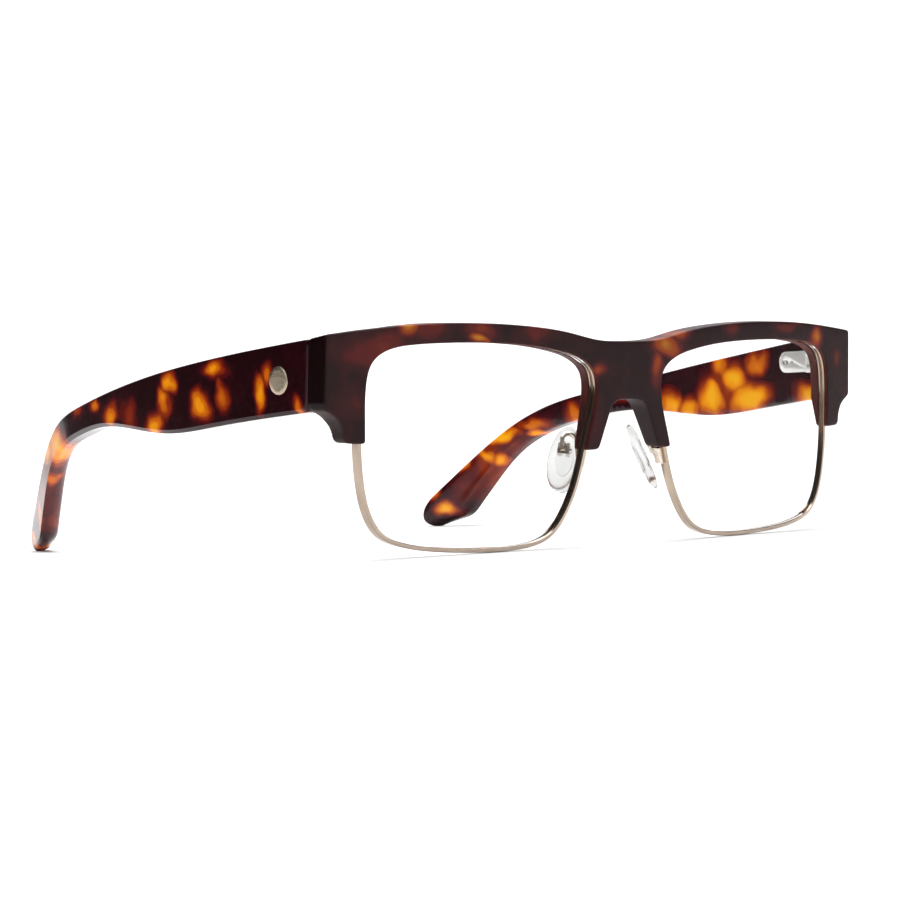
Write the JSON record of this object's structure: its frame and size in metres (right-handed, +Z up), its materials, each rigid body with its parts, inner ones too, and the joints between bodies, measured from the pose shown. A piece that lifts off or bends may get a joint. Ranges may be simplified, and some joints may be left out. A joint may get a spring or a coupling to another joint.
{
  "type": "half rim eyeglasses",
  "caption": "Spectacles with a tortoise acetate brow, metal eyewires bare below it, clear lenses, pads on wire arms and wide folding temples on spring hinges.",
  "frame": {"origin": "On the table, at the middle of the footprint of the opened glasses standing on both eyewires and both temple tips", "axes": "+Z up, +X to the wearer's left, -Y the way the wearer looks; the glasses are mirror images about X = 0"},
  "size_m": [0.1576, 0.1358, 0.0456],
  "materials": {
    "brow_acetate": "matte tortoise",
    "temple_acetate": "polished tortoise",
    "champagne_metal": "polished",
    "badge_metal": "brushed",
    "hinge_steel": "satin",
    "screw_steel": "polished",
    "pad_core_clear": "clear hard",
    "core_wire": "satin",
    "pad_silicone": "clear soft",
    "lens_clear": "clear"
  },
  "bodies": {
    "front": {"brow_front": "brow_acetate", "eyewire_left": "champagne_metal", "eyewire_right": "champagne_metal", "lens_left": "lens_clear", "lens_right": "lens_clear", "rim_lock_block_left": "champagne_metal", "rim_lock_block_right": "champagne_metal", "rim_lock_screw_left": "screw_steel", "rim_lock_screw_right": "screw_steel", "nose_pad_arm_left": "champagne_metal", "nose_pad_arm_right": "champagne_metal", "nose_pad_box_left": "champagne_metal", "nose_pad_box_right": "champagne_metal", "nose_pad_screw_left": "screw_steel", "nose_pad_screw_right": "screw_steel", "hinge_front_leaf_left": "hinge_steel", "hinge_front_leaf_right": "hinge_steel"},
    "pad_left": {"nose_pad_left": "pad_silicone", "nose_pad_core_left": "pad_core_clear"},
    "hinge_pin_left": {"hinge_screw_left": "screw_steel"},
    "hinge_arm_left": {"hinge_slider_left": "hinge_steel", "hinge_stop_left": "hinge_steel"},
    "side_arm_left": {"temple_left": "temple_acetate", "temple_core_left": "core_wire", "temple_badge_left": "badge_metal", "hinge_housing_left": "hinge_steel", "hinge_spring_left": "hinge_steel"},
    "pad_right": {"nose_pad_right": "pad_silicone", "nose_pad_core_right": "pad_core_clear"},
    "hinge_pin_right": {"hinge_screw_right": "screw_steel"},
    "hinge_arm_right": {"hinge_slider_right": "hinge_steel", "hinge_stop_right": "hinge_steel"},
    "side_arm_right": {"temple_right": "temple_acetate", "temple_core_right": "core_wire", "temple_badge_right": "badge_metal", "hinge_housing_right": "hinge_steel", "hinge_spring_right": "hinge_steel"}
  },
  "joints": [
    {"name": "nose_pad_rock_left", "type": "hinge", "parent": "front", "child": "pad_left", "pos_m": [0.01216, -0.06015, 0.01963], "axis": [-0.6225, -0.7735, -0.1195], "range_deg": [-8, 8]},
    {"name": "temple_flex_left", "type": "hinge", "parent": "front", "child": "hinge_pin_left", "pos_m": [0.0672, -0.0549, 0.037], "axis": [0, 0, 1], "range_deg": [-12, 0], "stiffness_Nm_per_rad": 0.5, "springref_deg": 5.73},
    {"name": "temple_fold_left", "type": "hinge", "parent": "hinge_pin_left", "child": "hinge_arm_left", "pos_m": [0.0672, -0.0549, 0.037], "axis": [0, 0, 1], "range_deg": [0, 85]},
    {"name": "temple_slide_left", "type": "slide", "parent": "hinge_arm_left", "child": "side_arm_left", "axis": [0.184, 0.9829, 0], "range_m": [0, 0.0017], "deforming": ["hinge_spring_left"]},
    {"name": "nose_pad_rock_right", "type": "hinge", "parent": "front", "child": "pad_right", "pos_m": [-0.01216, -0.06015, 0.01963], "axis": [0.6225, -0.7735, -0.1195], "range_deg": [-8, 8]},
    {"name": "temple_flex_right", "type": "hinge", "parent": "front", "child": "hinge_pin_right", "pos_m": [-0.0672, -0.0549, 0.037], "axis": [0, 0, -1], "range_deg": [-12, 0], "stiffness_Nm_per_rad": 0.5, "springref_deg": 5.73},
    {"name": "temple_fold_right", "type": "hinge", "parent": "hinge_pin_right", "child": "hinge_arm_right", "pos_m": [-0.0672, -0.0549, 0.037], "axis": [0, 0, -1], "range_deg": [0, 78]},
    {"name": "temple_slide_right", "type": "slide", "parent": "hinge_arm_right", "child": "side_arm_right", "axis": [-0.184, 0.9829, 0], "range_m": [0, 0.0017], "deforming": ["hinge_spring_right"]}
  ],
  "couplings": [
    {"joint": "temple_slide_left", "follows": "temple_flex_left", "m_per_rad": -0.0079},
    {"joint": "temple_slide_right", "follows": "temple_flex_right", "m_per_rad": -0.0079}
  ]
}
